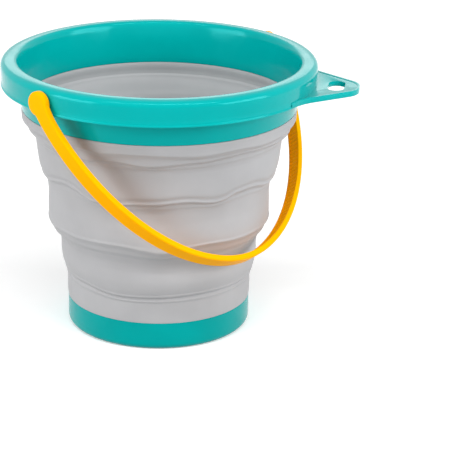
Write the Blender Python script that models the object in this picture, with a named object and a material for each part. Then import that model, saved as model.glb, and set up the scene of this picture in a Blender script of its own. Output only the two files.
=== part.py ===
# Collapsible camp bucket: a rigid base cup, a stepped soft wall that folds flat, a rolled rim
# with a hanging tab, and a strap handle on two pegs.
# Metres, +Z up. The origin is at the centre of the floor inside, and the handle's pegs lie along X.
# Heights are measured from the foot's underside, and one empty at that level carries every piece.

import math

import bmesh
import bpy
from mathutils import Matrix

# Whole bucket
BUCKET_HEIGHT = 0.158
SEAM_GAP = 0.0003
AROUND = 64

# Rim: a lip rolled over into a skirt, with a band below that holds the wall
RIM_RADIUS = 0.090
RIM_WALL = 0.0019
SKIRT_HEIGHT = 0.0145
SKIRT_EDGE_ROUND = 0.0004
LIP_OUTER_ROUND = 0.0036
LIP_INNER_ROUND = 0.0012
LIP_WIDTH = 0.0099
BAND_SETBACK = 0.0114
RIM_DEPTH = 0.028
RIM_LAP = 0.0037
LAP_WALL = 0.0009

# Base cup: foot, raised floor and the short wall that the soft wall grips
FOOT_RADIUS = 0.0531
FOOT_ROUND = 0.0034
FOOT_HEIGHT = 0.0162
CUP_WALL = 0.0020
CUP_NECK_SETBACK = 0.0012
CUP_LIP_RISE = 0.0046
FLOOR_RISE = 0.0078
FLOOR_THICKNESS = 0.0022
FLOOR_DISC_SETBACK = 0.0068
FLOOR_STEP = 0.0004
FLOOR_ROUND = 0.0035

# Folding wall
WALL_FOOT_PROUD = 0.0002
WALL_THICKNESS = 0.0016
FOLD_THICKNESS = 0.0012

# Outer face of the wall, from the foot's top edge to the rim's band. Each pair is a share of the
# height between the two and a share of the growth in radius.
WALL_SHARES = (
    (0.000, 0.000),
    (0.121, 0.008),
    (0.156, 0.063),
    (0.196, 0.115),
    (0.279, 0.134),
    (0.328, 0.166),
    (0.372, 0.281),
    (0.407, 0.387),
    (0.455, 0.415),
    (0.543, 0.403),
    (0.637, 0.458),
    (0.688, 0.561),
    (0.728, 0.621),
    (0.789, 0.648),
    (0.844, 0.680),
    (0.895, 0.834),
    (0.943, 0.960),
    (0.978, 0.996),
    (1.000, 1.000),
)

# Where the wall folds, as shares of the same height
BASE_CREST_SHARE = 0.156
LOWER_VALLEY_SHARE = 0.407
MIDDLE_CREST_SHARE = 0.688
UPPER_VALLEY_SHARE = 0.943

# Hanging tab
TAB_BEARING = math.radians(-55.4)
TAB_THICKNESS = 0.0028
TAB_RISE = 0.0003
TAB_LENGTH = 0.0240
TAB_MID_LENGTH = 0.0100
TAB_MID_HALF_WIDTH = 0.0183
TAB_SIDE_ANGLE = math.radians(32.7)
TAB_TIP_ROUND = 0.0090
TAB_FILLET = 0.0090
TAB_ROOT_DEPTH = 0.0012
TAB_FILLET_DEPTH = 0.0002
TAB_EDGE_ROUND = 0.0007
SLOT_CENTRE_OUT = 0.0110
SLOT_WIDTH = 0.0096
SLOT_LENGTH = 0.0195

# Strap handle
STRAP_SWING = math.radians(36.4)
STRAP_WIDTH = 0.0092
STRAP_THICKNESS = 0.0034
STRAP_EDGE_ROUND = 0.0008
STRAP_DROP = 0.1170
# 1 is a plain half ellipse; above 1 the loop is a little more pointed
STRAP_POINT_SHARE = 1.047
STRAP_LIP_WIDTH = 0.0010
STRAP_GROOVE_DEPTH = 0.0008
RIB_COUNT = 132
RIB_HEIGHT = 0.0005
PIVOT_DROP = 0.0086
DISC_RADIUS = 0.0068
DISC_THICKNESS = 0.0034
DISC_ROUND = 0.0008
DISC_STANDOFF = 0.0011
PEG_RADIUS = 0.0030
PEG_CLEARANCE = 0.0003
PEG_HEAD_RADIUS = 0.0040
PEG_HEAD_LENGTH = 0.0020
PEG_SINK = 0.0010
PEG_AROUND = 24

# One overrun serves every cut
CUT_OVERRUN = 0.0020

# The empty that carries every piece
FOOT_LEVEL = "foot_level"

# Sizes that follow from those above
LIP_INNER_RADIUS = RIM_RADIUS - LIP_WIDTH
BAND_RADIUS = RIM_RADIUS - BAND_SETBACK
BAND_BOTTOM = BUCKET_HEIGHT - RIM_DEPTH
SKIRT_BOTTOM = BUCKET_HEIGHT - SKIRT_HEIGHT
PIVOT_HEIGHT = BUCKET_HEIGHT - PIVOT_DROP
WALL_HEIGHT = BAND_BOTTOM - FOOT_HEIGHT
FLOOR_TOP = FOOT_HEIGHT + FLOOR_RISE
CUP_HEIGHT = FLOOR_TOP + CUP_LIP_RISE
CUP_NECK_RADIUS = FOOT_RADIUS - CUP_NECK_SETBACK
FLOOR_DISC_RADIUS = FOOT_RADIUS - FLOOR_DISC_SETBACK
WALL_FOOT_RADIUS = FOOT_RADIUS + WALL_FOOT_PROUD
TAB_REACH = RIM_RADIUS + TAB_LENGTH
TAB_MID_RADIUS = RIM_RADIUS + TAB_MID_LENGTH
SLOT_CENTRE_RADIUS = RIM_RADIUS + SLOT_CENTRE_OUT
DISC_INNER_X = RIM_RADIUS + DISC_STANDOFF
STRAP_HALF_SPAN = DISC_INNER_X + DISC_THICKNESS / 2


def clear_scene():
    for obj in list(bpy.data.objects):
        bpy.data.objects.remove(obj, do_unlink=True)


def plastic(name, colour, roughness, specular=0.5):
    material = bpy.data.materials.new(name)
    material.use_nodes = True
    shader = material.node_tree.nodes["Principled BSDF"]
    shader.inputs["Base Color"].default_value = (*colour, 1.0)
    shader.inputs["Roughness"].default_value = roughness
    shader.inputs["Metallic"].default_value = 0.0
    shader.inputs["Specular IOR Level"].default_value = specular
    material.diffuse_color = (*colour, 1.0)
    return material


def arc(centre, radius, start, end, steps):
    """Points (r, z) of an arc, from one angle in degrees to another."""
    points = []
    for i in range(steps + 1):
        angle = math.radians(start + (end - start) * i / steps)
        points.append((centre[0] + radius * math.cos(angle), centre[1] + radius * math.sin(angle)))
    return points


def place_empty(name, height, carrier=None):
    empty = bpy.data.objects.new(name, None)
    bpy.context.scene.collection.objects.link(empty)
    empty.location.z = height
    empty.parent = carrier
    return empty


def mesh_object(name, mesh, material, smooth_angle=35.0):
    mesh.shade_smooth()
    mesh.set_sharp_from_angle(angle=math.radians(smooth_angle))
    mesh.materials.append(material)
    obj = bpy.data.objects.new(name, mesh)
    bpy.context.scene.collection.objects.link(obj)
    obj.parent = bpy.data.objects[FOOT_LEVEL]
    return obj


def turned(name, outline, material, closed=True, around=AROUND):
    """A body turned about Z from a half section of (r, z) points."""
    bm = bmesh.new()
    verts = [bm.verts.new((r, 0.0, z)) for r, z in outline]
    pairs = list(zip(verts, verts[1:]))
    if closed:
        pairs.append((verts[-1], verts[0]))
    edges = [bm.edges.new(pair) for pair in pairs]
    bmesh.ops.spin(bm, geom=verts + edges, cent=(0, 0, 0), axis=(0, 0, 1),
                   angle=math.tau, steps=around, use_merge=True)
    bmesh.ops.remove_doubles(bm, verts=bm.verts, dist=SEAM_GAP / 100)
    bmesh.ops.recalc_face_normals(bm, faces=bm.faces)
    mesh = bpy.data.meshes.new(name)
    bm.to_mesh(mesh)
    bm.free()
    return mesh_object(name, mesh, material)


def prism(name, outline, bottom, top, material):
    """An outline of (x, y) points extruded along Z."""
    bm = bmesh.new()
    face = bm.faces.new([bm.verts.new((x, y, bottom)) for x, y in outline])
    grown = bmesh.ops.extrude_face_region(bm, geom=[face])
    lifted = [item for item in grown["geom"] if isinstance(item, bmesh.types.BMVert)]
    bmesh.ops.translate(bm, verts=lifted, vec=(0, 0, top - bottom))
    bmesh.ops.recalc_face_normals(bm, faces=bm.faces)
    mesh = bpy.data.meshes.new(name)
    bm.to_mesh(mesh)
    bm.free()
    return mesh_object(name, mesh, material)


def boolean(target, tool, operation):
    """Cuts or joins with another object, which stays in the file as a hidden guide."""
    modifier = target.modifiers.new(f"{operation.lower()} {tool.name}", "BOOLEAN")
    modifier.operation = operation
    modifier.object = tool
    modifier.solver = "EXACT"
    tool.hide_render = True
    tool.display_type = "WIRE"
    return target


def wall_radius(share):
    """Outer radius of the soft wall at a share of its height."""
    for (low, low_r), (high, high_r) in zip(WALL_SHARES, WALL_SHARES[1:]):
        if share <= high:
            blend = (share - low) / (high - low)
            growth = low_r + (high_r - low_r) * blend
            return WALL_FOOT_RADIUS + (BAND_RADIUS - WALL_FOOT_RADIUS) * growth
    return BAND_RADIUS


def wall_z(share):
    return FOOT_HEIGHT + WALL_HEIGHT * share


def wall_outer(low_share, high_share):
    """Outer points of one stretch of wall, with half a seam gap left at each end."""
    half_gap = SEAM_GAP / 2 / WALL_HEIGHT
    low = low_share + half_gap
    high = high_share - half_gap
    shares = [low] + [s for s, _ in WALL_SHARES if low < s < high] + [high]
    return [(wall_radius(s), wall_z(s)) for s in shares]


def wall_stretch(name, low_share, high_share, thickness, material):
    outer = wall_outer(low_share, high_share)
    inner = [(r - thickness, z) for r, z in reversed(outer)]
    return turned(name, outer + inner, material)


def build_base_cup(material):
    """Rounded foot, short wall, and a floor that is raised above a hollow foot."""
    foot_inner = FOOT_RADIUS - CUP_WALL
    neck_inner = CUP_NECK_RADIUS - CUP_WALL
    floor_under = FLOOR_TOP - FLOOR_THICKNESS
    outline = [(0.0, FLOOR_TOP), (FLOOR_DISC_RADIUS - FLOOR_STEP, FLOOR_TOP)]
    outline += [(FLOOR_DISC_RADIUS, FLOOR_TOP + FLOOR_STEP)]
    corner = (neck_inner - FLOOR_ROUND, FLOOR_TOP + FLOOR_STEP + FLOOR_ROUND)
    outline += arc(corner, FLOOR_ROUND, -90, 0, 4)[1:]
    outline += [(neck_inner, CUP_HEIGHT), (CUP_NECK_RADIUS, CUP_HEIGHT)]
    outline += [(CUP_NECK_RADIUS, FOOT_HEIGHT), (FOOT_RADIUS, FOOT_HEIGHT)]
    outline += arc((FOOT_RADIUS - FOOT_ROUND, FOOT_ROUND), FOOT_ROUND, 0, -90, 4)
    outline += [(foot_inner - FOOT_ROUND, 0.0), (foot_inner - FOOT_ROUND / 2, FOOT_ROUND)]
    outline += [(neck_inner, floor_under), (0.0, floor_under)]
    return turned("base_cup", outline, material, closed=False)


def build_base_band(material):
    """The wall's lowest stretch: a sleeve round the cup's neck that runs on above it."""
    outer = wall_outer(0.0, BASE_CREST_SHARE)
    outer[0] = (outer[0][0], FOOT_HEIGHT + SEAM_GAP)
    top_inner = outer[-1][0] - WALL_THICKNESS
    sleeve = CUP_NECK_RADIUS + SEAM_GAP
    neck_inner = CUP_NECK_RADIUS - CUP_WALL
    shoulder = CUP_HEIGHT + SEAM_GAP
    inner = [(top_inner, outer[-1][1]), (neck_inner, shoulder + WALL_THICKNESS), (neck_inner, shoulder)]
    inner += [(sleeve, shoulder), (sleeve, outer[0][1])]
    return turned("wall_base_band", outer + inner, material)


def build_top_band(material):
    """The wall's highest stretch, with a tongue that laps up inside the rim's band."""
    outer = wall_outer(UPPER_VALLEY_SHARE, 1.0)
    outer[-1] = (outer[-1][0], BAND_BOTTOM - SEAM_GAP)
    tongue_outer = BAND_RADIUS - LAP_WALL - SEAM_GAP
    tongue_inner = BAND_RADIUS - RIM_WALL
    tongue_top = BAND_BOTTOM + RIM_LAP - SEAM_GAP
    inner = [(tongue_outer, outer[-1][1]), (tongue_outer, tongue_top), (tongue_inner, tongue_top)]
    inner += [(tongue_inner, outer[-1][1]), (outer[0][0] - FOLD_THICKNESS, outer[0][1])]
    return turned("wall_top_band", outer + inner, material)


def build_rim(material):
    """Inverted-U section: skirt outside, lip on top, and the band inside that holds the wall."""
    top = BUCKET_HEIGHT
    under = top - RIM_WALL
    skirt_inner = RIM_RADIUS - RIM_WALL
    lip_outer = LIP_INNER_RADIUS + RIM_WALL
    inner_corner = (LIP_INNER_RADIUS + LIP_INNER_ROUND, top - LIP_INNER_ROUND)
    lap_top = BAND_BOTTOM + RIM_LAP
    inside_round = LIP_OUTER_ROUND - RIM_WALL
    outline = [(RIM_RADIUS, SKIRT_BOTTOM + SKIRT_EDGE_ROUND)]
    outline += arc((RIM_RADIUS - LIP_OUTER_ROUND, top - LIP_OUTER_ROUND), LIP_OUTER_ROUND, 0, 90, 5)
    outline += arc(inner_corner, LIP_INNER_ROUND, 90, 180, 3)
    outline += [(BAND_RADIUS - RIM_WALL, lap_top), (BAND_RADIUS - LAP_WALL, lap_top)]
    outline += [(BAND_RADIUS - LAP_WALL, BAND_BOTTOM), (BAND_RADIUS, BAND_BOTTOM), (lip_outer, under)]
    outline += arc((RIM_RADIUS - LIP_OUTER_ROUND, top - LIP_OUTER_ROUND), inside_round, 90, 0, 3)
    outline += [(skirt_inner, SKIRT_BOTTOM), (RIM_RADIUS - SKIRT_EDGE_ROUND, SKIRT_BOTTOM)]
    rim = turned("rim_ring", outline, material)
    boolean(rim, build_tab(material), "UNION")
    boolean(rim, build_slot_cutter(material), "DIFFERENCE")
    boolean(rim, build_peg_hole_cutter(material), "DIFFERENCE")
    return rim


def tab_side():
    """One side of the tab's outline, from inside the skirt to the middle of its tip."""
    direction = (-math.cos(TAB_SIDE_ANGLE), math.sin(TAB_SIDE_ANGLE))
    normal = (math.sin(TAB_SIDE_ANGLE), math.cos(TAB_SIDE_ANGLE))
    skirt = RIM_RADIUS - TAB_FILLET_DEPTH
    start_x = TAB_MID_RADIUS + TAB_FILLET * normal[0]
    start_y = TAB_MID_HALF_WIDTH + TAB_FILLET * normal[1]
    along = start_x * direction[0] + start_y * direction[1]
    spare = start_x ** 2 + start_y ** 2 - (skirt + TAB_FILLET) ** 2
    travel = -along - math.sqrt(along ** 2 - spare)
    fillet_x = start_x + travel * direction[0]
    fillet_y = start_y + travel * direction[1]
    meets_skirt = math.degrees(math.atan2(-fillet_y, -fillet_x))
    meets_side = math.degrees(math.atan2(-normal[1], -normal[0]))
    side = arc((fillet_x, fillet_y), TAB_FILLET, meets_skirt, meets_side, 5)
    tip_x = TAB_REACH - TAB_TIP_ROUND
    past = (tip_x - TAB_MID_RADIUS) * normal[0]
    tip_y = TAB_MID_HALF_WIDTH - (past + TAB_TIP_ROUND) / normal[1]
    side += arc((tip_x, tip_y), TAB_TIP_ROUND, math.degrees(math.atan2(normal[1], normal[0])), 0, 4)
    return side


def build_tab(material):
    """Flat ear, level with the skirt's bottom edge, with straight sides and a blunt round tip."""
    side = tab_side()
    mirrored = [(x, -y) for x, y in reversed(side)]
    root = RIM_RADIUS - TAB_ROOT_DEPTH
    spread = math.degrees(math.atan2(side[0][1], side[0][0]))
    outline = side + mirrored + arc((0.0, 0.0), root, -spread, spread, 8)
    bottom = SKIRT_BOTTOM + TAB_RISE
    tab = prism("tab_guide", outline, bottom, bottom + TAB_THICKNESS, material)
    bevel = tab.modifiers.new("rounded edge", "BEVEL")
    bevel.width = TAB_EDGE_ROUND
    bevel.segments = 1
    bevel.limit_method = "ANGLE"
    bevel.angle_limit = math.radians(60.0)
    tab.rotation_euler.z = TAB_BEARING
    return tab


def build_slot_cutter(material):
    """Oval slot with round ends, longer across the tab than along it."""
    radius = SLOT_WIDTH / 2
    reach = SLOT_LENGTH / 2 - radius
    outline = arc((SLOT_CENTRE_RADIUS, reach), radius, 0, 180, 6)
    outline += arc((SLOT_CENTRE_RADIUS, -reach), radius, 180, 360, 6)
    cutter = prism("slot_guide", outline, SKIRT_BOTTOM - CUT_OVERRUN,
                   SKIRT_BOTTOM + TAB_THICKNESS + CUT_OVERRUN, material)
    cutter.rotation_euler.z = TAB_BEARING
    return cutter


def x_cylinder(name, radius, start_x, end_x, material):
    """A round bar along X, open to both sides of the bucket."""
    outline = [(0.0, start_x), (radius, start_x), (radius, end_x), (0.0, end_x)]
    bar = turned(name, outline, material, closed=False, around=PEG_AROUND)
    bar.data.transform(Matrix.Rotation(math.radians(90.0), 4, "Y"))
    return bar


def build_peg_hole_cutter(material):
    """Two short bars, one through each side of the skirt, on the handle's axis."""
    near = RIM_RADIUS - RIM_WALL - CUT_OVERRUN
    far = RIM_RADIUS + CUT_OVERRUN
    radius = PEG_RADIUS + PEG_CLEARANCE
    cutter = x_cylinder("peg_hole_guide", radius, near, far, material)
    other = x_cylinder("peg_hole_guide_left", radius, -far, -near, material)
    cutter.location.z = PIVOT_HEIGHT
    boolean(cutter, other, "UNION")
    other.location.z = PIVOT_HEIGHT
    return cutter


def strap_point(angle):
    """A point of the strap's middle line and its outward direction, in the handle's own plane."""
    across, down = math.cos(angle), abs(math.sin(angle))
    x = STRAP_HALF_SPAN * math.copysign(abs(across) ** STRAP_POINT_SHARE, across)
    z = -STRAP_DROP * down ** STRAP_POINT_SHARE
    lean = 2 - STRAP_POINT_SHARE
    normal = (math.copysign(abs(across) ** lean, across) / STRAP_HALF_SPAN, -down ** lean / STRAP_DROP)
    length = math.hypot(*normal)
    return (x, z), (normal[0] / length, normal[1] / length)


def strap_section(floor_lift):
    """Half-width and outward offset of each corner: rounded outside, a ribbed groove inside."""
    half_width = STRAP_WIDTH / 2
    half_thick = STRAP_THICKNESS / 2
    edge = STRAP_EDGE_ROUND
    lip = half_width - STRAP_LIP_WIDTH
    groove = -half_thick + STRAP_GROOVE_DEPTH - floor_lift
    return [
        (-half_width, half_thick - edge),
        (-half_width + edge, half_thick),
        (half_width - edge, half_thick),
        (half_width, half_thick - edge),
        (half_width, -half_thick),
        (lip, -half_thick),
        (lip, groove),
        (-lip, groove),
        (-lip, -half_thick),
        (-half_width, -half_thick),
    ]


def build_strap_band(material):
    """The strap's band: its section carried along the loop, with a rib at every second step."""
    bm = bmesh.new()
    rings = []
    steps = 2 * RIB_COUNT
    for i in range(steps + 1):
        (x, z), (nx, nz) = strap_point(math.pi * i / steps)
        section = strap_section(RIB_HEIGHT * (i % 2))
        rings.append([bm.verts.new((x + nx * out, across, z + nz * out)) for across, out in section])
    for ring, following in zip(rings, rings[1:]):
        for k in range(len(ring)):
            after = (k + 1) % len(ring)
            bm.faces.new((ring[k], ring[after], following[after], following[k]))
    bm.faces.new(rings[0])
    bm.faces.new(rings[-1])
    bmesh.ops.recalc_face_normals(bm, faces=bm.faces)
    mesh = bpy.data.meshes.new("handle_strap")
    bm.to_mesh(mesh)
    bm.free()
    return mesh_object("handle_strap", mesh, material, 20.0)


def build_peg(side, material):
    """End disc, peg and snap head, turned on the handle's axis. side is 1 or -1 along X."""
    outer = DISC_INNER_X + DISC_THICKNESS
    head_end = RIM_RADIUS - RIM_WALL - PEG_CLEARANCE - PEG_HEAD_LENGTH
    head_start = head_end + PEG_HEAD_LENGTH - PEG_SINK / 2
    outline = [(0.0, head_end), (PEG_RADIUS, head_end), (PEG_HEAD_RADIUS, head_start - PEG_SINK / 2)]
    outline += [(PEG_HEAD_RADIUS, head_start), (PEG_RADIUS, head_start), (PEG_RADIUS, DISC_INNER_X)]
    outline += [(DISC_RADIUS, DISC_INNER_X), (DISC_RADIUS, outer - DISC_ROUND)]
    outline += [(DISC_RADIUS - DISC_ROUND, outer), (0.0, outer)]
    name = "peg_guide_right" if side > 0 else "peg_guide_left"
    peg = turned(name, outline, material, closed=False, around=PEG_AROUND)
    peg.data.transform(Matrix.Rotation(math.radians(90.0 * side), 4, "Y"))
    return peg


def build_handle(material):
    """Strap with its pegs, hung at the angle it rests at."""
    handle = build_strap_band(material)
    pivot = place_empty("handle_axis", PIVOT_HEIGHT, bpy.data.objects[FOOT_LEVEL])
    pivot.rotation_euler.x = -STRAP_SWING
    for side in (1, -1):
        peg = build_peg(side, material)
        peg.parent = pivot
        boolean(handle, peg, "UNION")
    handle.parent = pivot
    return handle


def build_bucket():
    clear_scene()
    place_empty(FOOT_LEVEL, -FLOOR_TOP)
    base_teal = plastic("base polypropylene", (0.0, 0.50, 0.46), 0.25)
    rim_teal = plastic("rim polypropylene", (0.0, 0.52, 0.48), 0.18)
    band_grey = plastic("wall elastomer, foot", (0.53, 0.53, 0.55), 0.5)
    lower_grey = plastic("wall elastomer, lower fold", (0.53, 0.53, 0.55), 0.5)
    middle_grey = plastic("wall elastomer, middle tier", (0.53, 0.53, 0.55), 0.5)
    upper_grey = plastic("wall elastomer, upper fold", (0.53, 0.53, 0.55), 0.5)
    top_grey = plastic("wall elastomer, top", (0.53, 0.53, 0.55), 0.5)
    yellow = plastic("handle polypropylene", (1.0, 0.45, 0.004), 0.35)
    build_base_cup(base_teal)
    build_base_band(band_grey)
    wall_stretch("wall_lower_fold", BASE_CREST_SHARE, LOWER_VALLEY_SHARE, FOLD_THICKNESS, lower_grey)
    wall_stretch("wall_middle_tier", LOWER_VALLEY_SHARE, MIDDLE_CREST_SHARE, WALL_THICKNESS, middle_grey)
    wall_stretch("wall_upper_fold", MIDDLE_CREST_SHARE, UPPER_VALLEY_SHARE, FOLD_THICKNESS, upper_grey)
    build_top_band(top_grey)
    build_rim(rim_teal)
    build_handle(yellow)


build_bucket()
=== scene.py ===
# %% [markdown]
# # A collapsible camp bucket
# The bucket has four mouldings: a rigid rim with a hanging tab, a rigid base cup, a soft wall that
# folds flat between them, and a strap handle on two pegs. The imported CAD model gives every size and
# every moving body. This file dresses it: each moulding is modelled again with finer rounds, and
# gets a material that is made from nodes.

# %% Load the frame
import math

import bpy
from mathutils import Matrix, Vector, noise


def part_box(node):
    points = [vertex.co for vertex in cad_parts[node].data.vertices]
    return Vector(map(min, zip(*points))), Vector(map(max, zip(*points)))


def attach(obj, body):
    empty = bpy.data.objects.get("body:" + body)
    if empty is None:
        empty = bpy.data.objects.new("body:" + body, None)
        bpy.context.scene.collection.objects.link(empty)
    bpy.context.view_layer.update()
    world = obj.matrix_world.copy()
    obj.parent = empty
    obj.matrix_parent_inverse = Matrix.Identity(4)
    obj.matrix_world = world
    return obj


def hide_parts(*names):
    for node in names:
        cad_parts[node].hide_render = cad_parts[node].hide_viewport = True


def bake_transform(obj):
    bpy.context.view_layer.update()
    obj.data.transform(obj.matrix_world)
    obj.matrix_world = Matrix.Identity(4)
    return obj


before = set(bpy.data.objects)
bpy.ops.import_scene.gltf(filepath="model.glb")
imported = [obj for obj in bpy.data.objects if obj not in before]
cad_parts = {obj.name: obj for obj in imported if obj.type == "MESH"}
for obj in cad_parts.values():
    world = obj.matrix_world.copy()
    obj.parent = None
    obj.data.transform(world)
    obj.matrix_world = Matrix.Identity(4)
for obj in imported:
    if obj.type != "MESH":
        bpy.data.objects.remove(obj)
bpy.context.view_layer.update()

# %% [markdown]
# ## Sizes
# Heights are written in millimetres above the foot, as on the drawing. The frame has its origin on
# the floor inside the bucket, so one function moves a height into the frame.

# %% Sizes of the bucket
MM = 0.001
FOOT_TO_FLOOR = 24.0
RIM_TOP = 158.0
RIM_RADIUS = 90.0
SKIRT_BOTTOM = 143.5
BAND_BOTTOM = 130.0
PIVOT_HEIGHT = 149.4
FOOT_RADIUS = 53.1
FOOT_TOP = 16.2
TAB_BEARING = -55.4


def height(above_foot):
    """A height above the foot, in mm, as a Z in the frame, in metres."""
    return (above_foot - FOOT_TO_FLOOR) * MM


lowest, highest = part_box("rim_ring")
print("rim in the frame: from", round(lowest.z / MM, 2), "to", round(highest.z / MM, 2), "mm")
print("rim on the drawing: from", round(height(BAND_BOTTOM) / MM, 2),
      "to", round(height(RIM_TOP) / MM, 2), "mm")

# %% [markdown]
# ## Helpers for modelling
# Operators act on whatever is selected, and the frame leaves its own nodes selected. So each step
# starts by selecting nothing. Faces and edges are picked in code, by where they are.

# %% Selecting and finishing
def select_only(*objects):
    """Leaves edit mode, and selects these objects with the first one active."""
    if bpy.context.object and bpy.context.object.mode == "EDIT":
        bpy.ops.object.mode_set(mode="OBJECT")
    bpy.ops.object.select_all(action="DESELECT")
    for item in objects:
        item.select_set(True)
    bpy.context.view_layer.objects.active = objects[0]


def edit(piece, kind="vertices"):
    """Opens the piece in edit mode with nothing selected."""
    select_only(piece)
    bpy.ops.object.mode_set(mode="EDIT")
    mode = {"vertices": "VERT", "edges": "EDGE", "polygons": "FACE"}[kind]
    bpy.ops.mesh.select_mode(type=mode)
    bpy.ops.mesh.select_all(action="DESELECT")


def pick(piece, kind, test):
    """Selects the vertices, edges or faces whose middle, in mm, passes the test."""
    edit(piece, kind)
    bpy.ops.object.mode_set(mode="OBJECT")
    mesh = piece.data
    for item in getattr(mesh, kind):
        if kind == "vertices":
            middle = item.co
        elif kind == "polygons":
            middle = item.center
        else:
            start, end = (mesh.vertices[i].co for i in item.vertices)
            middle = (start + end) / 2
        item.select = bool(test(middle / MM, item))
    bpy.ops.object.mode_set(mode="EDIT")


def settle(piece, angle=30.0):
    """Puts the piece's place into its mesh, and shades it smooth except over sharp edges."""
    select_only(piece)
    bpy.ops.object.transform_apply(location=True, rotation=True, scale=True)
    bpy.ops.object.shade_smooth_by_angle(angle=math.radians(angle))
    print(piece.name, "has", len(piece.data.polygons), "faces")


def apply_modifier(piece, kind, **settings):
    """Adds a modifier of a kind, and applies it at once."""
    modifier = piece.modifiers.new(kind.lower(), kind)
    for key, value in settings.items():
        setattr(modifier, key, value)
    select_only(piece)
    bpy.ops.object.modifier_apply(modifier=modifier.name)


def combine(piece, other, operation):
    """Joins or cuts a piece with another one, which is then removed."""
    apply_modifier(piece, "BOOLEAN", object=other, operation=operation, solver="EXACT")
    bpy.data.objects.remove(other)


# %% [markdown]
# ## Turned pieces
# The rim, the wall and the base are all round, as a lathe or a mould would make them. One way is to
# draw a half section and spin it. Here a circle is extruded from ring to ring instead, and each
# new ring is scaled to its radius, because the outline can then be read as plain pairs of a radius
# and a height.

# %% Grow a turned piece ring by ring
AXIS_RADIUS = 0.05
SMALLEST_GAP = 0.001


def turned(name, outline, around=144, closed=True):
    """Extrudes a circle along (radius, height) points in mm.

    A closed outline joins up with itself. The other kind starts and ends at AXIS_RADIUS, where each
    of the two tiny rings is merged to one point on the axis.
    """
    bpy.ops.object.select_all(action="DESELECT")
    first_radius, first_height = outline[0]
    bpy.ops.mesh.primitive_circle_add(vertices=around, radius=first_radius * MM,
                                      location=(0, 0, height(first_height)))
    piece = bpy.context.object
    piece.name = piece.data.name = name
    path = outline + outline[:1] if closed else outline
    bpy.ops.object.transform_apply(location=True)
    bpy.ops.object.mode_set(mode="EDIT")
    bpy.ops.mesh.select_all(action="SELECT")
    for (radius, level), (next_radius, next_level) in zip(path, path[1:]):
        step = {"value": (0, 0, (next_level - level) * MM)}
        bpy.ops.mesh.extrude_edges_move(TRANSFORM_OT_translate=step)
        grow = next_radius / radius
        bpy.ops.transform.resize(value=(grow, grow, 1), center_override=(0, 0, 0))
    bpy.ops.mesh.select_all(action="SELECT")
    bpy.ops.mesh.remove_doubles(threshold=SMALLEST_GAP * MM)
    if not closed:
        pick(piece, "vertices", lambda m, v: math.hypot(m.x, m.y) < 2 * AXIS_RADIUS)
        bpy.ops.mesh.remove_doubles(threshold=3 * AXIS_RADIUS * MM)
        bpy.ops.mesh.select_all(action="SELECT")
    bpy.ops.mesh.normals_make_consistent(inside=False)
    bpy.ops.object.mode_set(mode="OBJECT")
    return piece


def arc(centre, radius, start, end, steps):
    """Points of an arc in a half section, from one angle in degrees to another."""
    points = []
    for i in range(steps + 1):
        angle = math.radians(start + (end - start) * i / steps)
        across, up = radius * math.cos(angle), radius * math.sin(angle)
        points.append((centre[0] + across, centre[1] + up))
    return points


# %% [markdown]
# ## The camera and the light
# The camera stands where the photograph was taken from: a long lens about 1.2 m away, looking 20
# degrees down. Its place and its lens come from a fit of the bucket's ellipses. The camera and the
# lamps share one bearing round the bucket.
#
# The bucket stands in a white studio, between two wide softboxes, with a darker side behind the
# camera. That gives the wall its brighter flanks and its darker middle. A long strip above draws
# the bright line along the lip, and a faint softbox behind makes the lip's inner edge pale.

# %% Camera
# The distance is in m, the height and the sensor in mm, and the turns are in degrees. The lens is
# given in pixels of a picture that is so many pixels wide.
SHOT_BEARING = -45.4
CAMERA_DISTANCE = 1.112
CAMERA_HEIGHT = 462.7
CAMERA_YAW = -2.295
CAMERA_PITCH = -20.33
CAMERA_ROLL = -1.04
SENSOR_WIDTH = 36.0
FOCAL_PIXELS = 2024.47
PICTURE_PIXELS = 470


def turn(degrees, axis):
    """A turn about one axis, as a matrix."""
    return Matrix.Rotation(math.radians(degrees), 4, axis)


camera_data = bpy.data.cameras.new("studio_camera")
camera_data.sensor_width = SENSOR_WIDTH
camera_data.lens = FOCAL_PIXELS / PICTURE_PIXELS * SENSOR_WIDTH
camera_data.clip_start = 0.05
camera_data.clip_end = 20.0
camera = bpy.data.objects.new("studio_camera", camera_data)
bpy.context.scene.collection.objects.link(camera)
shot_turn = turn(SHOT_BEARING, "Z")
stand = Matrix.Translation((0, -CAMERA_DISTANCE, height(CAMERA_HEIGHT)))
aim = turn(CAMERA_YAW, "Z") @ turn(CAMERA_PITCH, "X") @ turn(CAMERA_ROLL, "Y")
camera.matrix_world = shot_turn @ stand @ aim @ turn(90.0, "X")
bpy.context.scene.camera = camera
print("camera at", [round(v, 3) for v in camera.matrix_world.translation])
print("lens", round(camera_data.lens, 1), "mm")

# %% Nodes and colours
def linear(hexcode):
    """An sRGB hex colour as the linear numbers that a shader wants."""
    numbers = []
    for i in (1, 3, 5):
        channel = int(hexcode[i:i + 2], 16) / 255
        if channel <= 0.04045:
            numbers.append(channel / 12.92)
        else:
            numbers.append(((channel + 0.055) / 1.055) ** 2.4)
    return (*numbers, 1.0)


def add_node(tree, kind, settings=None, values=None, links=None):
    """Adds a node with its settings, its socket values and its incoming links."""
    node = tree.nodes.new("ShaderNode" + kind)
    for key, value in (settings or {}).items():
        setattr(node, key, value)
    for key, value in (values or {}).items():
        node.inputs[key].default_value = value
    for key, source in (links or {}).items():
        tree.links.new(source, node.inputs[key])
    return node


def empty_material(name):
    """A material with nothing in its node tree yet."""
    material = bpy.data.materials.new(name)
    material.use_nodes = True
    material.node_tree.nodes.clear()
    return material


# %% Lamps
AIM_POINT = (0, 0, 0.06)


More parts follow.
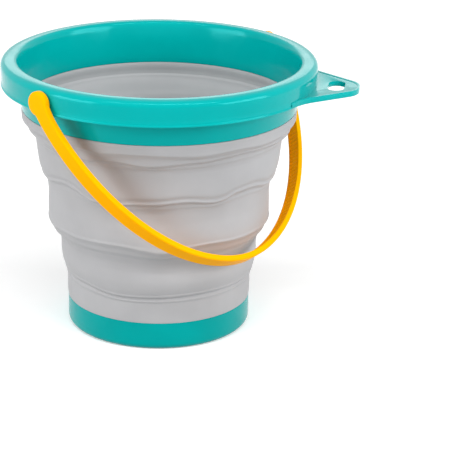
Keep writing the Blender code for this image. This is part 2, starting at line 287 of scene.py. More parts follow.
def softbox(name, place, width, length, power):
    """An area lamp that points at the bucket. Its place, in metres, has the camera towards -Y."""
    data = bpy.data.lights.new(name, "AREA")
    data.shape = "RECTANGLE"
    data.size = width
    data.size_y = length
    data.energy = power
    lamp = bpy.data.objects.new(name, data)
    bpy.context.scene.collection.objects.link(lamp)
    start = shot_turn @ Vector(place)
    end = shot_turn @ Vector(AIM_POINT)
    lamp.location = start
    lamp.rotation_euler = (end - start).to_track_quat("-Z", "Y").to_euler()
    print(name, "at", [round(v, 2) for v in start], "with", power, "W")


softbox("softbox_left", (-1.10, -0.60, 0.40), width=0.75, length=0.60, power=9.9)
softbox("softbox_right", (1.05, -0.56, 0.47), width=0.80, length=0.55, power=10.7)
softbox("strip_top", (0.0, -0.62, 1.20), width=1.5, length=0.08, power=9.8)
softbox("softbox_back", (0.0, 1.15, 0.56), width=0.9, length=0.30, power=1.2)

# %% [markdown]
# ### The white room
# The picture has a plain white background. The world shows white to the camera and in reflections,
# and lights the object with a dimmer grey, so that the pale wall keeps its shading. The floor is
# white paper that still takes the bucket's shadow. It glows more the further it is from the bucket,
# so that it stays white where the lamps no longer reach.

# %% World
WHITE = (1, 1, 1, 1)
ROOM_LEVEL = 0.40


def seen_directly(tree):
    """1 for rays from the camera, or seen in gloss or glass, and 0 for scattered light."""
    rays = add_node(tree, "LightPath")
    first = add_node(tree, "Math", {"operation": "MAXIMUM"},
                     links={0: rays.outputs["Is Camera Ray"], 1: rays.outputs["Is Glossy Ray"]})
    second = add_node(tree, "Math", {"operation": "MAXIMUM"},
                      links={0: first.outputs[0], 1: rays.outputs["Is Transmission Ray"]})
    return second.outputs[0]


world = bpy.data.worlds.new("studio")
bpy.context.scene.world = world
world.use_nodes = True
tree = world.node_tree
tree.nodes.clear()
room = add_node(tree, "Background", values={"Color": WHITE, "Strength": ROOM_LEVEL})
white = add_node(tree, "Background", values={"Color": WHITE, "Strength": 1.0})
either = add_node(tree, "MixShader",
                  links={0: seen_directly(tree), 1: room.outputs[0], 2: white.outputs[0]})
add_node(tree, "OutputWorld", links={"Surface": either.outputs[0]})
print(world.name, "lights the bucket at level", ROOM_LEVEL)

# %% Floor
PAPER_SHADE = (0.9, 0.9, 0.9, 1)
BOUNCE_SHADE = (0.50, 0.50, 0.50, 1)
# From a distance in m to a strength
GLOW_RANGE = {"From Min": 0.25, "From Max": 1.2, "To Min": 0.28, "To Max": 0.70}
bpy.ops.object.select_all(action="DESELECT")
bpy.ops.mesh.primitive_plane_add(size=6.0, location=(0, 0, height(-0.05)))
floor = bpy.context.object
floor.name = floor.data.name = "studio_floor"
paper = empty_material("white paper sweep")
tree = paper.node_tree
bright = add_node(tree, "BsdfDiffuse", values={"Color": PAPER_SHADE})
place = add_node(tree, "TexCoord")
distance = add_node(tree, "VectorMath", {"operation": "LENGTH"},
                    links={0: place.outputs["Object"]})
level = add_node(tree, "MapRange", values=GLOW_RANGE, links={"Value": distance.outputs["Value"]})
glow = add_node(tree, "Emission", values={"Color": WHITE},
                links={"Strength": level.outputs["Result"]})
lit = add_node(tree, "AddShader", links={0: bright.outputs[0], 1: glow.outputs[0]})
dim = add_node(tree, "BsdfDiffuse", values={"Color": BOUNCE_SHADE})
either = add_node(tree, "MixShader",
                  links={0: seen_directly(tree), 1: dim.outputs[0], 2: lit.outputs[0]})
add_node(tree, "OutputMaterial", links={"Surface": either.outputs[0]})
floor.data.materials.append(paper)
print(floor.name, "is made of", paper.name)

# %% [markdown]
# ## Materials
# The rim and the base are injection-moulded polypropylene: glossy, a little waxy, with a faint
# ripple from the cooling mould. Dyed polypropylene reflects some of its own colour, because light
# also comes back from just under its surface. The usual way to give that is subsurface scattering.
# It made these bright colours dull, so the gloss is tinted instead. The wall is a thermoplastic
# elastomer, which is matte and powdery and shows fine grain. The handle is polypropylene again,
# with a softer sheen, and a faint painted glow on its strap stands in for light coming through it.

# %% Moulded polypropylene
# The colour of a painted glow, which lightens the strap in its shade as light coming through it would
PAINTED_GLOW_COLOUR = (1.0, 0.33, 0.01, 1.0)
# Noise seldom leaves the middle of its range, so the middle is stretched to the whole
MIDDLE_OF_NOISE = {"From Min": 0.3, "From Max": 0.7}


def polypropylene(name, hexcode, deep_hexcode, roughness, gloss, gloss_tint, glow=0.0):
    """Injection-moulded polypropylene: glossy, with slow ripples of 12 mm and faint flow marks.

    The glow is painted light: a steady emission in place of the little light that a thin strap lets
    through.
    """
    material = empty_material(name)
    tree = material.node_tree
    place = add_node(tree, "TexCoord")
    ripple = add_node(tree, "TexNoise",
                      values={"Scale": 1 / 0.012, "Detail": 2.0, "Roughness": 0.5},
                      links={"Vector": place.outputs["Object"]})
    flow = add_node(tree, "TexNoise",
                    values={"Scale": 1 / 0.045, "Detail": 3.0, "Roughness": 0.6},
                    links={"Vector": place.outputs["Object"]})
    # The real grain of a polished mould is about 0.1 mm. It is drawn at 0.6 mm so that it shows.
    grain = add_node(tree, "TexNoise",
                     values={"Scale": 1 / 0.0006, "Detail": 3.0, "Roughness": 0.6},
                     links={"Vector": place.outputs["Object"]})
    tint = add_node(tree, "MapRange", values=MIDDLE_OF_NOISE, links={"Value": flow.outputs["Fac"]})
    colour = add_node(tree, "Mix", {"data_type": "RGBA"}, links={"Factor": tint.outputs["Result"]})
    colour.inputs[6].default_value = linear(deep_hexcode)
    colour.inputs[7].default_value = linear(hexcode)
    polish_range = {**MIDDLE_OF_NOISE, "To Min": roughness - 0.03, "To Max": roughness + 0.05}
    polish = add_node(tree, "MapRange", values=polish_range, links={"Value": ripple.outputs["Fac"]})
    waves = add_node(tree, "Bump", values={"Strength": 0.04, "Distance": 0.0004},
                     links={"Height": ripple.outputs["Fac"]})
    skin = add_node(tree, "Bump", values={"Strength": 0.06, "Distance": 0.00005},
                    links={"Height": grain.outputs["Fac"], "Normal": waves.outputs["Normal"]})
    # Any emission here is a painted glow, not a lamp
    shader = add_node(tree, "BsdfPrincipled",
                      values={"IOR": 1.49, "Specular IOR Level": gloss, "Specular Tint": gloss_tint,
                              "Emission Strength": glow, "Emission Color": PAINTED_GLOW_COLOUR},
                      links={"Base Color": colour.outputs[2], "Roughness": polish.outputs["Result"],
                             "Normal": skin.outputs["Normal"]})
    add_node(tree, "OutputMaterial", links={"Surface": shader.outputs["BSDF"]})
    return material


TEAL_GLOSS = (0.15, 0.97, 1.0, 1.0)
YELLOW_GLOSS = (1.0, 0.85, 0.1, 1.0)
rim_plastic = polypropylene(
    "glossy moulded polypropylene, teal", "#00A6A4", "#009F9D",
    roughness=0.12, gloss=0.28, gloss_tint=TEAL_GLOSS)
base_plastic = polypropylene(
    "moulded polypropylene, teal base", "#009E9C", "#009795",
    roughness=0.20, gloss=0.18, gloss_tint=TEAL_GLOSS)
# The strap and its groove get a painted glow. The groove's is stronger, to lighten its shade.
strap_plastic = polypropylene(
    "moulded polypropylene, yellow", "#FFB400", "#FFAC00",
    roughness=0.38, gloss=0.04, gloss_tint=YELLOW_GLOSS, glow=0.05)
groove_plastic = polypropylene(
    "matt moulded polypropylene, yellow groove", "#FFB000", "#FFA800",
    roughness=0.5, gloss=0.04, gloss_tint=YELLOW_GLOSS, glow=0.14)
for plastic in (rim_plastic, base_plastic, strap_plastic, groove_plastic):
    print("made", plastic.name)

# %% Soft elastomer
def elastomer(name):
    """Thermoplastic elastomer: matte, pale grey, with a fine grain and slightly dusty patches."""
    material = empty_material(name)
    tree = material.node_tree
    place = add_node(tree, "TexCoord")
    patch = add_node(tree, "TexNoise",
                     values={"Scale": 1 / 0.030, "Detail": 4.0, "Roughness": 0.55},
                     links={"Vector": place.outputs["Object"]})
    # The moulded grain is about 0.2 mm. It is drawn at 0.8 mm so that it shows.
    grain = add_node(tree, "TexNoise",
                     values={"Scale": 1 / 0.0008, "Detail": 4.0, "Roughness": 0.6},
                     links={"Vector": place.outputs["Object"]})
    tint = add_node(tree, "MapRange", values=MIDDLE_OF_NOISE, links={"Value": patch.outputs["Fac"]})
    colour = add_node(tree, "Mix", {"data_type": "RGBA"}, links={"Factor": tint.outputs["Result"]})
    colour.inputs[6].default_value = linear("#AAAAAC")
    colour.inputs[7].default_value = linear("#B1B1B3")
    dull = add_node(tree, "MapRange", values={**MIDDLE_OF_NOISE, "To Min": 0.50, "To Max": 0.60},
                    links={"Value": patch.outputs["Fac"]})
    skin = add_node(tree, "Bump", values={"Strength": 0.12, "Distance": 0.00008},
                    links={"Height": grain.outputs["Fac"]})
    shader = add_node(tree, "BsdfPrincipled",
                      values={"IOR": 1.48, "Specular IOR Level": 0.22,
                              "Sheen Weight": 0.05, "Sheen Roughness": 0.4},
                      links={"Base Color": colour.outputs[2], "Roughness": dull.outputs["Result"],
                             "Normal": skin.outputs["Normal"]})
    add_node(tree, "OutputMaterial", links={"Surface": shader.outputs["BSDF"]})
    return material


wall_rubber = elastomer("matte thermoplastic elastomer, grey")
print("made", wall_rubber.name)

# %% [markdown]
# ## The rim
# The rim is a lip that rolls over into a skirt, and a band inside the skirt holds the top of the
# wall. Seen from below it is an open channel, so the plastic is about 2 mm thick everywhere. The
# skirt ends in a small bead, and the lip turns inwards in a wide round. Both show as thin bright
# lines, so they are in the outline.

# %% Rim
# The bead and the outside of the skirt
rim_outline = [(RIM_RADIUS - 0.12, SKIRT_BOTTOM + 0.12), (RIM_RADIUS, SKIRT_BOTTOM + 0.4)]
rim_outline += [(RIM_RADIUS, SKIRT_BOTTOM + 0.7), (RIM_RADIUS - 0.1, SKIRT_BOTTOM + 0.95)]
rim_outline += [(RIM_RADIUS - 0.3, SKIRT_BOTTOM + 1.15), (RIM_RADIUS - 0.42, SKIRT_BOTTOM + 1.5)]
rim_outline += [(RIM_RADIUS - 0.3, 148.0), (RIM_RADIUS - 0.1, 151.5)]
# Over the lip and down its inside
rim_outline += arc((RIM_RADIUS - 3.7, RIM_TOP - 3.9), 3.7, 0, 80, 8)
rim_outline += [(85.4, RIM_TOP - 0.02), (84.2, RIM_TOP), (83.2, RIM_TOP - 0.02)]
rim_outline += arc((82.78, RIM_TOP - 2.4), 2.4, 86, 158, 8)
rim_outline += arc((90.02, 152.2), 10.4, 155, 172, 6)
rim_outline += [(79.6, 153.0), (78.6, 146.0), (77.5, 138.5), (76.8, 134.0), (76.85, 133.75)]
# The step that the wall sits under, and the bottom of the band
rim_outline += [(77.6, 133.7), (77.72, 133.5), (77.72, BAND_BOTTOM + 0.15), (77.85, BAND_BOTTOM)]
rim_outline += [(78.35, BAND_BOTTOM), (78.6, BAND_BOTTOM + 0.25)]
# Up the open channel and down again behind the skirt
rim_outline += [(79.2, 137.0), (80.3, 143.5), (81.3, 150.0)]
rim_outline += arc((83.2, 154.9), 1.2, 180, 90, 4)
rim_outline += arc((86.3, 154.3), 1.8, 90, 0, 5)
rim_outline += [(88.1, 150.0), (88.1, SKIRT_BOTTOM + 0.3), (88.35, SKIRT_BOTTOM)]
rim_outline += [(RIM_RADIUS - 0.4, SKIRT_BOTTOM)]
rim = turned("rim", rim_outline, around=180)
print("rim outline has", len(rim_outline), "points")

# %% [markdown]
# ### The hanging tab
# The tab is a flat ear on the skirt's bottom edge, with an oval slot to hang the bucket by. It
# starts as a plane whose corners go to the tab's own. Its root edge is extruded into the skirt
# and widened there, and a vertex bevel turns each corner into a curve. Two insets leave the tab's
# raised border. A cylinder then trims the root, because the channel under the rim has to stay open.

# %% Tab outline
TAB_BOTTOM = SKIRT_BOTTOM + 0.3
# How near to its mark something has to be to be picked, in mm
NEAR = 0.5
ROOT_X = 85.9
ROOT_HALF_WIDTH = 30.1
ROOT_DEPTH = 5.4
ROOT_FLARE = 1.34
ROOT_ROUND = 5.5
TIP_X = 114.0
TIP_HALF_WIDTH = 7.4
TIP_ROUND = 5.6
bpy.ops.object.select_all(action="DESELECT")
bpy.ops.mesh.primitive_plane_add(size=1.0, location=(0, 0, height(TAB_BOTTOM)))
tab = bpy.context.object
tab.name = tab.data.name = "tab"
bpy.ops.object.transform_apply(location=True)
for vertex in tab.data.vertices:
    if vertex.co.x > 0:
        corner = (TIP_X, TIP_HALF_WIDTH)
    else:
        corner = (ROOT_X, ROOT_HALF_WIDTH)
    vertex.co.x = corner[0] * MM
    vertex.co.y = math.copysign(corner[1] * MM, vertex.co.y)
pick(tab, "edges", lambda m, e: abs(m.x - ROOT_X) < NEAR)
bpy.ops.mesh.extrude_edges_move(TRANSFORM_OT_translate={"value": (-ROOT_DEPTH * MM, 0, 0)})
bpy.ops.transform.resize(value=(1, ROOT_FLARE, 1), center_override=(0, 0, 0))
pick(tab, "edges", lambda m, e: abs(m.x - ROOT_X) < NEAR and abs(m.y) < NEAR)
bpy.ops.mesh.dissolve_edges(use_verts=False)
pick(tab, "vertices", lambda m, v: abs(m.x - ROOT_X) < NEAR)
bpy.ops.mesh.bevel(offset=ROOT_ROUND * MM, segments=8, affect="VERTICES")
pick(tab, "vertices", lambda m, v: abs(m.x - TIP_X) < NEAR)
bpy.ops.mesh.bevel(offset=TIP_ROUND * MM, segments=9, affect="VERTICES")
bpy.ops.object.mode_set(mode="OBJECT")
print("tab outline has", len(tab.data.vertices), "points")

# %% Tab thickness
TAB_THICKNESS = 3.2
BORDER_WIDTH = 1.2
BORDER_HEIGHT = 0.35
BORDER_SLOPE = 0.2
edit(tab, "polygons")
bpy.ops.mesh.select_all(action="SELECT")
bpy.ops.mesh.normals_make_consistent(inside=False)
bpy.ops.mesh.extrude_region_move(TRANSFORM_OT_translate={"value": (0, 0, TAB_THICKNESS * MM)})
bpy.ops.mesh.select_all(action="SELECT")
bpy.ops.mesh.normals_make_consistent(inside=False)
pick(tab, "polygons", lambda m, f: f.normal.z > 0.9)
bpy.ops.mesh.inset(thickness=BORDER_WIDTH * MM)
bpy.ops.mesh.inset(thickness=BORDER_SLOPE * MM, depth=-BORDER_HEIGHT * MM)
bpy.ops.object.mode_set(mode="OBJECT")
print("tab has", len(tab.data.polygons), "faces")

# %% Slot and trim
SLOT_X = 101.0
SLOT_RADIUS = 4.7
SLOT_HALF_STRETCH = 4.95
CHANNEL_TRIM_RADIUS = 88.9
TAB_EDGE_ROUND = 0.45
bpy.ops.mesh.primitive_cylinder_add(vertices=48, radius=SLOT_RADIUS * MM, depth=12 * MM,
                                    location=(SLOT_X * MM, 0, height(TAB_BOTTOM)))
slot = bpy.context.object
slot.name = "slot_cutter"
bpy.ops.object.transform_apply(location=True)
for side in (1, -1):
    pick(slot, "vertices", lambda m, v: m.y * side > 0.01)
    bpy.ops.transform.translate(value=(0, side * SLOT_HALF_STRETCH * MM, 0))
bpy.ops.object.mode_set(mode="OBJECT")
combine(tab, slot, "DIFFERENCE")
bpy.ops.mesh.primitive_cylinder_add(vertices=180, radius=CHANNEL_TRIM_RADIUS * MM, depth=20 * MM,
                                    location=(0, 0, height(TAB_BOTTOM)))
combine(tab, bpy.context.object, "DIFFERENCE")
apply_modifier(tab, "BEVEL", width=TAB_EDGE_ROUND * MM, segments=3,
               limit_method="ANGLE", angle_limit=math.radians(50))
tab.rotation_euler.z = math.radians(TAB_BEARING)
select_only(tab)
bpy.ops.object.transform_apply(rotation=True)
print("tab with its slot has", len(tab.data.polygons), "faces")

# %% Join the tab, and drill the skirt for the pegs
PEG_HOLE_RADIUS = 3.3
SKIRT_MIDDLE = 89.0
combine(rim, tab, "UNION")
for side in (1, -1):
    bpy.ops.mesh.primitive_cylinder_add(
        vertices=32, radius=PEG_HOLE_RADIUS * MM, depth=6 * MM,
        location=(side * SKIRT_MIDDLE * MM, 0, height(PIVOT_HEIGHT)),
        rotation=(0, math.radians(90), 0))
    combine(rim, bpy.context.object, "DIFFERENCE")
settle(rim, 35)
rim.data.materials.clear()
rim.data.materials.append(rim_plastic)
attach(rim, "rim")
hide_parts("rim_ring")

# %% [markdown]
# ## The base cup
# The foot has a rounded edge and a hollow underside, and the floor is raised, as the folded bucket
# shows. Above the foot the cup is narrower by the thickness of the soft wall that grips it. Its
# outline starts and ends at the axis, where each tiny ring is merged to one point.

# %% Base cup
FOOT_ROUND = 3.4
FLOOR_UNDERSIDE = 21.8
# The raised floor and the inside corner
base_outline = [(AXIS_RADIUS, FOOT_TO_FLOOR), (20.0, FOOT_TO_FLOOR), (44.6, FOOT_TO_FLOOR)]
base_outline += [(45.6, 24.05), (46.0, 24.35), (46.5, 24.4)]
base_outline += arc((46.4, 27.9), 3.5, -80, 0, 7)
# The short wall that the soft wall grips
base_outline += [(49.9, 28.4), (50.1, 28.6), (51.6, 28.6), (51.9, 28.3)]
# The foot
base_outline += [(51.9, FOOT_TOP + 0.15), (52.1, FOOT_TOP), (52.8, FOOT_TOP)]
base_outline += [(FOOT_RADIUS, FOOT_TOP - 0.3), (FOOT_RADIUS, 9.0)]
base_outline += arc((FOOT_RADIUS - FOOT_ROUND, FOOT_ROUND), FOOT_ROUND, 0, -90, 8)
# The hollow underside
base_outline += [(48.0, 0.0), (47.7, 0.25), (48.6, 3.4), (49.6, 12.0), (49.9, 20.6), (49.0, 21.6)]
base_outline += [(47.8, FLOOR_UNDERSIDE), (20.0, FLOOR_UNDERSIDE), (AXIS_RADIUS, FLOOR_UNDERSIDE)]
base = turned("base", base_outline, around=144, closed=False)
settle(base, 35)
base.data.materials.append(base_plastic)
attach(base, "base")
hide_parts("base_cup")

# %% [markdown]
# ## The folding wall
# The wall is one soft moulding in five tiers. Between two tiers it steps outwards, and there it
# folds: the creases are thinner lines that catch the light. Soft walls never stand quite round, so
# the creases wander up and down a little. Inside they are fainter, and the top fold has a small
# shelf that shows as a pale line under the rim.
#
# When the bucket folds, the wall turns inside out between its creases. So it is made as two skins
# that meet on the middle crease.

# %% The wall's outline
WALL_BOTTOM = 16.3
WALL_TOP = 129.85
MIDDLE_FOLD = 94.5
# Height and outside radius of the wall without its creases, in mm
WALL = [
    (WALL_BOTTOM, 53.15), (18.0, 53.3), (24.0, 53.4), (29.0, 53.3), (31.0, 53.5), (33.0, 54.2),
    (35.6, 55.3), (38.5, 56.1), (41.5, 56.6), (45.0, 56.8), (49.0, 56.8), (53.0, 57.3),
    (56.0, 58.7), (59.2, 60.6), (62.0, 62.7), (64.5, 63.55), (68.0, 63.9), (74.0, 63.9),
    (80.0, 63.8), (85.5, 64.3), (89.0, 65.0), (91.8, 66.2), (MIDDLE_FOLD, 67.6), (97.2, 68.7),
    (100.5, 69.3), (105.0, 69.9), (109.5, 70.4), (112.5, 70.8), (115.2, 72.0), (118.2, 74.4),
    (121.1, 76.2), (124.1, 77.9), (126.5, 78.6), (128.5, 78.75), (WALL_TOP, 78.6),
]
# Height of each crease, how far it stands out, and its half-width, in mm
CREASES = [
    (29.9, 0.45, 0.75), (31.6, -0.40, 0.70), (33.3, 0.45, 0.75),
    (57.3, -0.20, 1.00), (59.6, 0.45, 1.10), (62.2, -0.40, 1.10), (64.9, 0.45, 1.10),
    (89.6, 0.15, 0.70), (91.4, -0.30, 0.80), (93.2, 0.65, 0.95), (95.6, -0.20, 0.90),
    (115.0, 0.25, 0.60), (116.6, -0.30, 0.80), (118.5, 0.45, 0.80), (121.2, -0.30, 1.20),
    (124.1, 0.45, 1.00), (127.4, -0.15, 1.00),
]


def smooth_between(points, x):
    """A smooth curve through (x, y) points, read at x."""
    for i in range(len(points) - 1):
        if x <= points[i + 1][0] or i == len(points) - 2:
            break
    x0, y0 = points[i]
    x1, y1 = points[i + 1]
    before = points[i - 1] if i else points[i]
    after = points[i + 2] if i + 2 < len(points) else points[i + 1]
    slope0 = (y1 - before[1]) / (x1 - before[0])
    slope1 = (after[1] - y0) / (after[0] - x0)
    t = (x - x0) / (x1 - x0)
    span = x1 - x0
    a = (2 * t ** 3 - 3 * t ** 2 + 1) * y0 + (t ** 3 - 2 * t ** 2 + t) * span * slope0
    return a + (-2 * t ** 3 + 3 * t ** 2) * y1 + (t ** 3 - t ** 2) * span * slope1


def bell(distance, width):
    """A bell curve: 1 at no distance, and almost nothing at twice the width."""
    return math.exp(-(distance / width) ** 2)


def wall_radius(level, sharpness=1.0):
    """The radius at a height. The sharpness is the share of the creases that shows."""
    radius = smooth_between(WALL, level)
    for crease, out, width in CREASES:
        radius += sharpness * out * bell(level - crease, width)
    return radius


for tier_height in (28, 50, 84, 112, 129):
    print("wall radius at", tier_height, "mm:", round(wall_radius(tier_height), 1), "mm")

# %% How the creases wander
# Bearing in degrees round the bucket, and how far the crease lies above its mean height, in mm
FOOT_CREASE = [
    (-202, 0.8), (-185, 1.3), (-165, -0.9), (-140, -0.5), (-110, 0.5), (-80, 0.0), (0, -0.6),
    (80, 0.5), (158, 0.8),
]
LOWER_CREASE = [
    (-206, -0.7), (-192, 0.2), (-183, 0.0), (-155, 1.0), (-144, -0.6), (-133, -2.2), (-121, 0.6),
    (-113, 1.6), (-106, 1.7), (-96, 0.9), (-81, 0.6), (-66, 0.1), (0, -0.7), (60, 0.7),
    (110, -0.4), (154, -0.7),
]
MIDDLE_CREASE = [
    (-202, -0.2), (-187, 3.1), (-178, 1.6), (-173, -1.2), (-168, -2.6), (-152, -1.8),
    (-148, -1.1), (-136, -0.6), (-123, 0.7), (-109, -1.4), (-103, -0.9), (-98, 1.3), (-91, 2.2),
    (-83, 2.0), (-70, -1.1), (-40, 0.8), (0, -0.9), (50, 1.3), (100, -0.8), (158, -0.2),
]
BAND_CREASE = [
    (-202, 0.4), (-170, -1.6), (-159, 0.0), (-151, 0.2), (-145, -1.1), (-138, -1.5), (-124, 0.1),
    (-115, 0.4), (-105, 1.4), (-94, 1.7), (-60, -0.5), (0, 0.8), (60, -0.8), (110, 0.7),
    (158, 0.4),
]
UPPER_CREASE = [
    (-202, 0.6), (-170, 0.9), (-160, -0.6), (-150, 0.5), (-133, 0.1), (-120, -1.0), (-111, -0.5),
    (-101, 0.4), (-88, -1.0), (-50, 0.5), (0, -0.6), (60, 0.7), (110, -0.4), (158, 0.6),
]
# Mean height of each crease, and how far up and down the wall its wandering reaches, in mm
WANDERS = [
    (34.1, 5.5, FOOT_CREASE), (63.0, 5.0, LOWER_CREASE), (94.4, 6.0, MIDDLE_CREASE),
    (117.6, 2.9, BAND_CREASE), (123.6, 2.3, UPPER_CREASE),
]


def wander(bearing, level):
    """How far up the soft wall has crept at a place, in mm."""
    total = 0.0
    for crease, reach, table in WANDERS:
        first_bearing = table[0][0]
        along = (bearing - first_bearing) % 360 + first_bearing
        total += smooth_between(table, along) * bell(level - crease, reach)
    return total


for crease, reach, table in WANDERS:
    print("crease at", crease, "mm wanders by up to", max(abs(up) for _, up in table), "mm")

# %% Skins of the wall
WALL_THICKNESS = 1.7
FOOT_BAND_TOP = 29.0
FOOT_BAND_THICKNESS = 1.2
INSIDE_SHARPNESS = 0.2
SHELF_LEVEL = 126.0
SWELL, SWELL_START, SWELL_LENGTH = 1.7, 106.0, 12.0
TAPER, TAPER_START, TAPER_LENGTH = 0.9, 119.0, 7.0
# The wall's top edge, which stands in the rim's band
TONGUE = [
    (77.62, 129.9), (77.6, 133.3), (77.45, 133.5), (76.95, 133.5), (76.8, 133.3), (76.8, 131.0),
]


def ramp(distance, length):
    """0 before the start, and 1 after the whole length."""
    return min(1.0, max(0.0, distance / length))


def lower_thickness(level):
    """The band that grips the cup is thinner than the tiers."""
    return FOOT_BAND_THICKNESS if level < FOOT_BAND_TOP else WALL_THICKNESS


def upper_thickness(level):
    """The wall is thicker under the small shelf that shows inside at the top fold."""
    if level > SHELF_LEVEL:
        return WALL_THICKNESS
    swell = SWELL * ramp(level - SWELL_START, SWELL_LENGTH)
    taper = TAPER * ramp(level - TAPER_START, TAPER_LENGTH)
    return WALL_THICKNESS + swell - taper


def wall_levels(low, high, step):
    """Heights from low to high, about one step apart."""
    count = max(2, round((high - low) / step))
    return [low + (high - low) * i / count for i in range(count + 1)]


def skin(name, low, high, thickness, tongue=()):
    """The wall between two heights: up its outside, over any tongue, and down its inside."""
    outer = [(wall_radius(z), z) for z in wall_levels(low, high, 0.4)]
    inner = [(wall_radius(z, INSIDE_SHARPNESS) - thickness(z), z)
             for z in reversed(wall_levels(low, high, 0.5))]
    return turned(name, outer + list(tongue) + inner, around=144)


lower_wall = skin("wall_lower", WALL_BOTTOM, MIDDLE_FOLD, lower_thickness)
upper_wall = skin("wall_upper", MIDDLE_FOLD, WALL_TOP, upper_thickness, TONGUE)
print("skins have", len(lower_wall.data.vertices), "and", len(upper_wall.data.vertices), "points")

# %% Let the two skins wander, and dress them
# The wave's length is in m, as the frame is, and the other two are in mm
HELD_LENGTH = 8.0
WAVE_LENGTH = 0.028
WAVE_HEIGHT = 0.22


def soften(piece):
    """Moves each point with the wandering creases and with the wall's own slight waviness.

    The two ends of the wall are held by the cup and the rim, so nothing moves there.
    """
    for vertex in piece.data.vertices:
        level = vertex.co.z / MM + FOOT_TO_FLOOR
        bearing = math.degrees(math.atan2(vertex.co.y, vertex.co.x))
        freedom = ramp(level - WALL_BOTTOM, HELD_LENGTH) * ramp(WALL_TOP - level, HELD_LENGTH)
        vertex.co.z += wander(bearing, level) * freedom * MM
        wave = noise.noise(Vector((vertex.co.x, vertex.co.y, vertex.co.z)) / WAVE_LENGTH)
        radius = math.hypot(vertex.co.x, vertex.co.y)
        grow = 1 + WAVE_HEIGHT * MM * wave * freedom / radius
        vertex.co.x *= grow
        vertex.co.y *= grow


for piece in (lower_wall, upper_wall):
    soften(piece)
    settle(piece, 60)
    piece.data.materials.append(wall_rubber)
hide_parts("wall_base_band", "wall_lower_fold", "wall_middle_tier")
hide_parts("wall_upper_fold", "wall_top_band")
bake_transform(lower_wall)
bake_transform(upper_wall)

# %% [markdown]
# ## The strap handle
# The handle is a flat strap bent into half an ellipse, with a shallow groove inside that has a rib
# every 2.5 mm. One pitch of it is modelled with its rib, an array repeats it, and a curve modifier
# bends the row round the ellipse. Each end widens on one side into a neck where it meets its disc.

# %% The strap's path
HALF_SPAN = 92.8
DROP = 117.0
LOOP_POWER = 1.047
RIBS = 132


def loop_point(angle):
    """A point of the loop: half an ellipse, more pointed by a power a little above 1."""
    across, down = math.cos(angle), abs(math.sin(angle))
    x = HALF_SPAN * math.copysign(abs(across) ** LOOP_POWER, across)
    z = -DROP * down ** LOOP_POWER
    return Vector((x, 0, z)) * MM


def loop_path(steps):
    """Points along the whole loop, from one peg to the other."""
    return [loop_point(math.pi * i / steps) for i in range(steps + 1)]


path = loop_path(2000)
strap_length = sum((b - a).length for a, b in zip(path, path[1:]))
pitch = strap_length / RIBS
print("strap length", round(strap_length / MM, 1), "mm, rib pitch", round(pitch / MM, 2), "mm")

# %% One pitch of the strap
STRAP_WIDTH = 9.2
STRAP_THICKNESS = 3.4
# Just short of the strap's sides and of its faces, in mm from its middle
SIDE = 4.5
FACE = 1.6
OUTSIDE_ROUND = 1.0
INSIDE_ROUND = 0.35


def runs_along_side(middle):
    """Whether an edge with this middle runs lengthwise, on one of the strap's two sides."""
    return abs(middle.y) > SIDE and abs(middle.x - pitch / MM / 2) < 0.1


bpy.ops.object.select_all(action="DESELECT")
bpy.ops.mesh.primitive_cube_add(size=1.0, location=(pitch / 2, 0, 0),
                                scale=(pitch, STRAP_WIDTH * MM, STRAP_THICKNESS * MM))
strap = bpy.context.object
strap.name = strap.data.name = "strap"
bpy.ops.object.transform_apply(location=True, scale=True)
pick(strap, "polygons", lambda m, f: abs(f.normal.x) > 0.9)
bpy.ops.mesh.delete(type="ONLY_FACE")
pick(strap, "edges", lambda m, e: runs_along_side(m) and m.z < -FACE)
bpy.ops.mesh.bevel(offset=OUTSIDE_ROUND * MM, segments=4)
pick(strap, "edges", lambda m, e: runs_along_side(m) and m.z > FACE)
bpy.ops.mesh.bevel(offset=INSIDE_ROUND * MM, segments=2)
bpy.ops.object.mode_set(mode="OBJECT")
print("one plain pitch has", len(strap.data.polygons), "faces")

# %% Groove and rib
GROOVE_LINES = (-3.6, -3.4, 3.4, 3.6)
GROOVE_EDGE = 3.5
# Between which heights the groove's faces lie, and how far out to the sides, in mm
GROOVE_LOW, GROOVE_HIGH, GROOVE_REACH = 0.6, 1.69, 3.7
# Half of the rib's width, as a share of a pitch
RIB_HALF = 0.16
# How deep the groove lies at each share of a pitch, in mm: the rib is in the middle
GROOVE_DEPTHS = {0.0: 0.75, 0.18: 0.75, 0.34: 0.45, 0.5: 0.22, 0.66: 0.45, 0.82: 0.75, 1.0: 0.75}
for offset in GROOVE_LINES:
    edit(strap)
    bpy.ops.mesh.select_all(action="SELECT")
    bpy.ops.mesh.bisect(plane_co=(0, offset * MM, 0), plane_no=(0, 1, 0))
for share in list(GROOVE_DEPTHS)[1:-1]:
    edit(strap)
    bpy.ops.mesh.select_all(action="SELECT")
    bpy.ops.mesh.bisect(plane_co=(share * pitch, 0, 0), plane_no=(1, 0, 0))
bpy.ops.object.mode_set(mode="OBJECT")
for vertex in strap.data.vertices:
    if vertex.co.z > FACE * MM and abs(vertex.co.y) < GROOVE_EDGE * MM:
        share = min(GROOVE_DEPTHS, key=lambda s: abs(s * pitch - vertex.co.x))
        vertex.co.z -= GROOVE_DEPTHS[share] * MM
strap.data.materials.append(strap_plastic)
strap.data.materials.append(groove_plastic)
for face in strap.data.polygons:
    x, y, z = face.center / MM
    in_groove = GROOVE_LOW < z < GROOVE_HIGH and abs(y) < GROOVE_REACH
    on_rib = abs(x * MM / pitch - 0.5) < RIB_HALF
    face.material_index = int(in_groove and not on_rib)
print("one pitch with its rib has", len(strap.data.polygons), "faces")

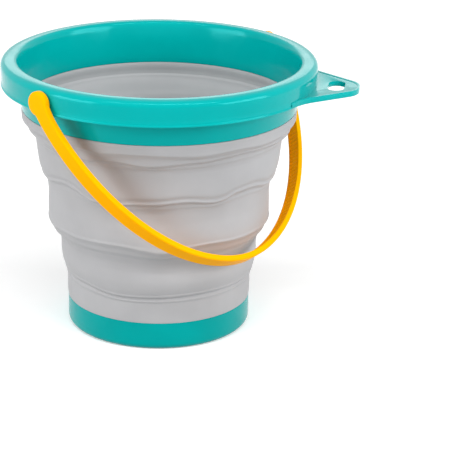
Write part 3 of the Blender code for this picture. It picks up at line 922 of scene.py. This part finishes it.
# %% Repeat, widen the necks and bend
NECK_LENGTH = 13.0
NECK_WIDENING = 0.42
apply_modifier(strap, "ARRAY", count=RIBS, use_relative_offset=False, use_constant_offset=True,
               constant_offset_displace=(pitch, 0, 0), use_merge_vertices=True,
               merge_threshold=0.01 * MM)
for vertex in strap.data.vertices:
    from_end = min(vertex.co.x, strap_length - vertex.co.x) / MM
    flare = max(0.0, 1 - from_end / NECK_LENGTH) ** 1.5
    if vertex.co.y > 0:
        vertex.co.y *= 1 + NECK_WIDENING * flare
path = loop_path(400)
curve = bpy.data.curves.new("strap_path", "CURVE")
curve.dimensions = "3D"
spline = curve.splines.new("POLY")
spline.points.add(len(path) - 1)
for point, place in zip(spline.points, path):
    point.co = (*place, 1.0)
curve_object = bpy.data.objects.new("strap_path", curve)
bpy.context.scene.collection.objects.link(curve_object)
apply_modifier(strap, "CURVE", object=curve_object, deform_axis="POS_X")
bpy.data.objects.remove(curve_object)
loop_bottom = min(vertex.co.z for vertex in strap.data.vertices)
print("lowest point of the loop:", round(-loop_bottom / MM, 2), "mm below the pegs")

# %% [markdown]
# ### The pegs
# Each end of the strap is a flat disc. Its peg goes through a hole in the skirt and snaps in behind
# it with a small head.

# %% Discs, pegs and heads
STRAP_SWING = 36.4
# Radius on the pegs' axis, and distance out from the middle of the bucket, in mm
HEAD = [(AXIS_RADIUS, 85.8), (3.4, 85.8), (4.0, 86.4), (4.0, 87.4), (3.8, 87.6)]
SHANK = [(3.0, 87.75), (3.0, 90.3)]
DISC = [
    (3.3, 90.45), (6.4, 90.45), (6.75, 90.6), (6.9, 91.0), (6.9, 92.9), (6.8, 93.5), (6.45, 94.0),
    (5.9, 94.3), (4.9, 94.45), (3.0, 94.5), (AXIS_RADIUS, 94.5),
]


def peg(side):
    """One peg with its head and its disc, at the +X or the -X end of the strap."""
    outline = [(radius, out + FOOT_TO_FLOOR) for radius, out in HEAD + SHANK + DISC]
    piece = turned("peg", outline, around=48, closed=False)
    select_only(piece)
    piece.rotation_euler = (0, math.radians(90 * side), 0)
    bpy.ops.object.transform_apply(rotation=True)
    return piece


edit(strap, "edges")
bpy.ops.mesh.select_non_manifold()
bpy.ops.mesh.edge_face_add()
bpy.ops.mesh.select_all(action="SELECT")
bpy.ops.mesh.normals_make_consistent(inside=False)
bpy.ops.object.mode_set(mode="OBJECT")
for side in (1, -1):
    combine(strap, peg(side), "UNION")
strap.rotation_euler.x = -math.radians(STRAP_SWING)
strap.location.z = height(PIVOT_HEIGHT)
settle(strap, 30)
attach(strap, "handle")
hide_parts("handle_strap")

# %% [markdown]
# The Standard view shows each colour about as it is written.

# %% Finish
bpy.context.scene.view_settings.view_transform = "Standard"
